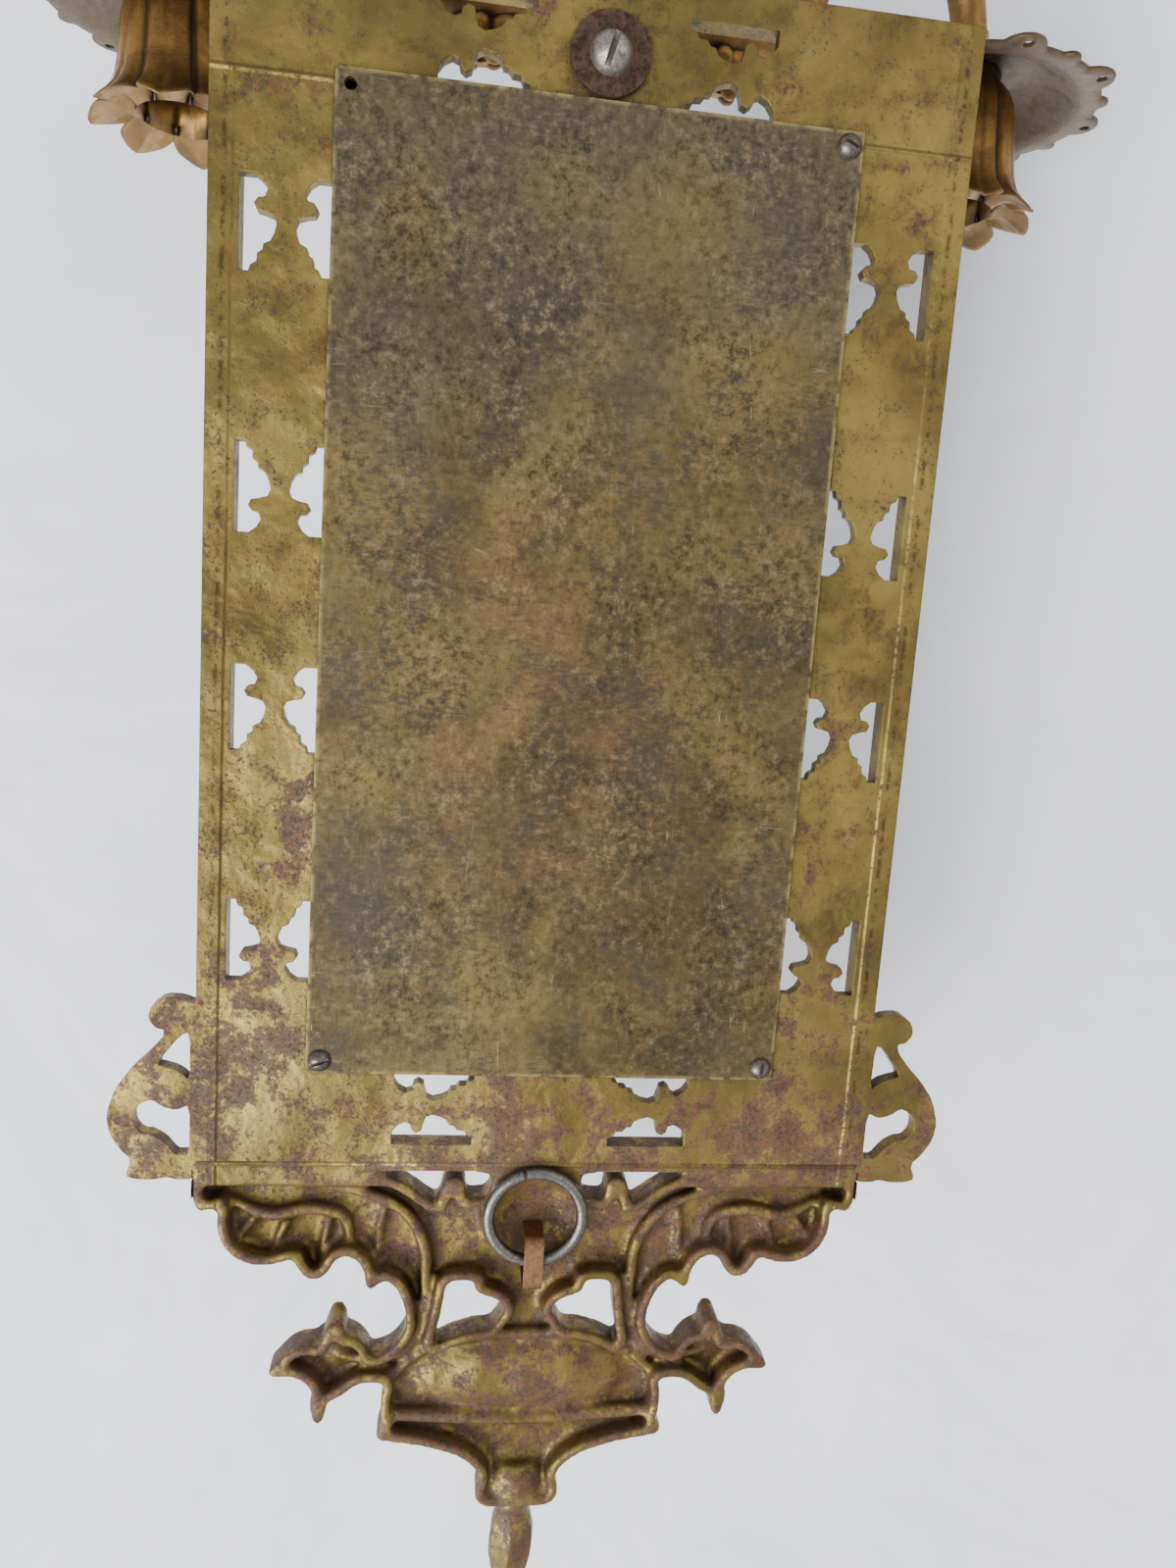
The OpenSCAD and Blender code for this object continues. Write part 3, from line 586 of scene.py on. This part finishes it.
def makeCup(sideName):
    look = {"panels": 8, "swell": 0.045, "groove": 0.15, "crease": 0.03, "scallop": 3.4, "flare": 0.085,
        "notch": 0.09, "steps": 192, "rim": 29, "rimHeight": 7.8, "boreR": 10.6, "boreFrom": 8}
    centre = nodeMiddle(sideName + "_candle_cup")
    profile = [(4, 0), (8.4, 0), (9.2, 1.2), (9, 2.6), (9.8, 4), (11.4, 6), (12.6, 9), (13.4, 13), (13.8, 18),
        (14.2, 23), (14.8, 27), (15.8, 30.4), (17.2, 33), (18.6, 35), (19.4, 36.3), (19.4, 36.8), (18.6, 36.4),
        (16.8, 34.8), (14.6, 33.4), (12.6, 33.2), (11.2, 33.8), (10.5, 33.6), (10.5, 26), (10.5, 16), (10.5, 10),
        (6, 9.2), (3, 9.2)]
    bm = bmesh.new()
    turned(bm, profile, look["steps"], centre)
    for v in bm.verts:
        flat = Vector((v.co.x - centre.x, v.co.y - centre.y, 0))
        r, z = flat.length * 1000, (v.co.z - centre.z) * 1000
        if r < look["boreR"] and z > look["boreFrom"]:
            continue
        f = fold(angleFrom(v, centre) + math.pi / look["panels"], look["panels"])
        body = min(1, max(0, (z - 3) / 4))  # panels fade out towards the foot
        groove = look["groove"] * (max(0, f - 0.7) / 0.3) ** 1.4
        crease = look["crease"] * math.exp(-(f / 0.12) ** 2)
        shape = 1 + body * (look["swell"] - groove - crease)
        if z > look["rim"]:
            t = min(1, (z - look["rim"]) / look["rimHeight"])
            shape += t * (look["flare"] * (1 - f) - look["notch"] * f ** 2)
            v.co.z -= mm(look["scallop"] * t * f ** 1.1)
        v.co.x = centre.x + flat.x * shape
        v.co.y = centre.y + flat.y * shape
    return finished(sideName + "PetalCup", bm, "sconce", "gilt_brass", [sideName + "_candle_cup"])


# How far the pan's edge reaches at an angle: round lobes with a small point between each two
def lobeReach(angle, look):
    best = look["waist"]
    step = math.tau / look["lobes"]
    for offset, distance, radius in ((0, look["lobeAt"], look["lobeR"]), (0.5, look["pointAt"], look["pointR"])):
        delta = ((angle / step - offset + 0.5) % 1 - 0.5) * step
        across = distance * math.sin(delta)
        if abs(across) < radius:
            best = max(best, distance * math.cos(delta) + math.sqrt(radius ** 2 - across ** 2))
    return best


def makePan(sideName):
    look = {"lobes": 8, "lobeAt": 32.2, "lobeR": 5.2, "pointAt": 33, "pointR": 2.4, "waist": 33.4, "bowl": 29.5,
        "droop": 0.5, "steps": 384, "hole": 1.15, "holeAt": 34.4, "holeZ": 9.5, "drill": 6}
    centre = nodeMiddle(sideName + "_drip_pan")
    profile = [(2.6, 0), (8, 0), (13, 0.1), (17, 1), (21, 2.8), (25, 5.4), (28, 7.9), (29.5, 8.9), (31.2, 9.2),
        (33.3, 9.1), (33.4, 9.6), (33.3, 10.1), (31.2, 10.2), (29.3, 10), (27.4, 8.9), (24.4, 6.5), (20.6, 4),
        (16.8, 2.2), (13, 1.3), (8, 1.2), (2.6, 1.2)]
    bm = bmesh.new()
    turned(bm, profile, look["steps"], centre)
    for v in bm.verts:
        flat = Vector((v.co.x - centre.x, v.co.y - centre.y, 0))
        r = flat.length * 1000
        if r <= look["bowl"]:
            continue
        angle = angleFrom(v, centre)
        t = (r - look["bowl"]) / (look["waist"] - look["bowl"])
        reach = look["bowl"] + t * (lobeReach(angle, look) - look["bowl"])
        v.co.x = centre.x + flat.x / r * reach
        v.co.y = centre.y + flat.y / r * reach
        v.co.z -= mm(look["droop"]) * max(0, t - 0.4) * fold(angle, look["lobes"])
    pan = finished(sideName + "LobedPan", bm, "sconce", "gilt_brass", [sideName + "_drip_pan"], dustyShadedBronze)
    cutter = bmesh.new()
    for k in range(look["lobes"]):  # a prism hangs from a hole in each lobe
        a = k * math.tau / look["lobes"]
        place = centre + Vector((mm(look["holeAt"]) * math.cos(a), mm(look["holeAt"]) * math.sin(a),
            mm(look["holeZ"])))
        bmesh.ops.create_cone(cutter, cap_ends=True, segments=24, radius1=mm(look["hole"]),
            radius2=mm(look["hole"]), depth=mm(look["drill"]), matrix=Matrix.Translation(place))
    tool = addObject("prismHoles", cutter)
    drill = pan.modifiers.new("drill", "BOOLEAN")
    drill.object, drill.operation, drill.solver = tool, "DIFFERENCE", "EXACT"
    drilled = bpy.data.meshes.new_from_object(pan.evaluated_get(bpy.context.evaluated_depsgraph_get()))
    pan.modifiers.clear()
    pan.data = drilled
    bpy.data.objects.remove(tool)
    return pan


def makeArmFlower(side, sideName):
    look = {"petals": 6, "x": 25.9, "y": -19.7, "z": -126.5, "turn": math.radians(23), "spread": 5, "lift": 1.4,
        "petalR": 3.6, "petalSquash": (1, 0.42, 0.78), "doubled": 2.6}
    bm = bmesh.new()
    centre = at(side * look["x"], look["y"], look["z"])
    face = Matrix.Rotation(-side * look["turn"], 4, "Z")
    for k in range(look["petals"]):
        a = k * math.tau / look["petals"]
        outward = face @ Vector((mm(look["spread"]) * math.cos(a), mm(look["lift"]),
            mm(look["spread"]) * math.sin(a)))
        outward.y = abs(outward.y)
        turn = face @ Matrix.Rotation(-a, 4, "Y")
        for forward in (0, mm(look["doubled"])):  # two thin petals, one in front of the other
            ball(bm, centre + outward - Vector((0, forward, 0)), look["petalR"], look["petalSquash"], 3, turn)
    ball(bm, centre + face @ Vector((0, mm(2.4), 0)), 2.4)
    ball(bm, centre - face @ Vector((0, mm(3.2), 0)), 2.6)
    return finished(sideName + "ArmFlower", bm, "sconce", "gilt_brass")


for side, sideName in ((-1, "left"), (1, "right")):
    makeCup(sideName)
    makePan(sideName)
    makeArmFlower(side, sideName)
print("cups and pans made")


# White cotton, seen only from its upper side, so that it hides nothing when looked at from below
def sheetMaterial():
    g = Graph("whiteCottonSheet")
    crumple = g.add("TexNoise", g.sized(170, 4, 0.5, 0.5))
    weave = g.add("TexNoise", g.sized(1.2, 2))
    colour = g.tint("#e4e6eb", "#eeeff2", g.mask(g.add("TexNoise", g.sized(260, 3)), 0.35, 0.65))
    creased = g.add("Bump", {"Height": crumple, "Distance": mm(26), "Strength": 0.8})
    normal = g.add("Bump", {"Height": weave, "Distance": mm(0.05), "Strength": 0.4, "Normal": creased})
    g.shade(colour, 0.0, 0.92, normal)
    back = g.add("NewGeometry", out="Backfacing")
    hidden = g.add("Math", (back, g.add("LightPath", out="Is Shadow Ray")), operation="MAXIMUM")
    mixed = g.add("MixShader", (hidden, g.shader.outputs[0], g.add("BsdfTransparent")))
    g.tree.links.new(mixed, g.tree.nodes["Material Output"].inputs["Surface"])
    return g.material


def makeSheet():
    look = {"halfSize": 3.0, "gap": 1, "grid": 4}
    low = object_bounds()[0]
    bm = bmesh.new()
    turn = Matrix.Rotation(-math.pi / 2, 4, "X")  # faces +Y, towards the sconce's back
    bmesh.ops.create_grid(bm, x_segments=look["grid"], y_segments=look["grid"], size=look["halfSize"],
        matrix=Matrix.Translation((0, low.y - mm(look["gap"]), middleZ)) @ turn)
    for face in bm.faces:
        face.normal_update()
        if face.normal.y < 0:
            face.normal_flip()
    sheet = addObject("cottonSheet", bm)
    sheet.data.materials.append(sheetMaterial())


def makeLight(name, place, size, power, colour):
    data = bpy.data.lights.new(name, "AREA")
    data.shape, data.size, data.energy, data.color = "SQUARE", size, power, linearColour(colour)[:3]
    made = bpy.data.objects.new(name, data)
    made.location = place
    made.rotation_euler = (Vector((0, 0, middleZ)) - Vector(place)).to_track_quat("-Z", "Y").to_euler()
    bpy.context.scene.collection.objects.link(made)


def makeWorld():
    look = {"colour": "#e8ebf2", "strength": 1.15}
    world = bpy.data.worlds.new("softGrey")
    bpy.context.scene.world = world
    world.use_nodes = True
    background = world.node_tree.nodes["Background"]
    background.inputs["Color"].default_value = linearColour(look["colour"])
    background.inputs["Strength"].default_value = look["strength"]


def makeCamera():
    look = {"place": (-25.2, 243.1, -1.3), "right": (0.9910, 0.1153, -0.0683), "up": (-0.0494, -0.1594, -0.9860),
        "back": (-0.1246, 0.9805, -0.1523), "lens": 24.95, "sensor": 36, "near": 0.01, "far": 20}
    data = bpy.data.cameras.new("camera")
    data.sensor_fit = "VERTICAL"
    data.sensor_height = data.sensor_width = look["sensor"]
    data.lens = look["lens"]
    data.clip_start, data.clip_end = look["near"], look["far"]
    made = bpy.data.objects.new("camera", data)
    turn = Matrix((look["right"], look["up"], look["back"])).transposed()
    made.matrix_world = Matrix.Translation(at(*look["place"])) @ turn.to_4x4()
    bpy.context.scene.collection.objects.link(made)
    bpy.context.scene.camera = made


makeSheet()
makeLight("window", (-1.0, 1.1, 0.6), 1.2, 58, "#fbfcff")
makeLight("fill", (1.2, 1.2, -0.7), 1.6, 9, "#fff6ea")
makeLight("front", (0.8, -1.6, 0.9), 1.4, 36, "#ffffff")
makeWorld()
makeCamera()
print("stage made")
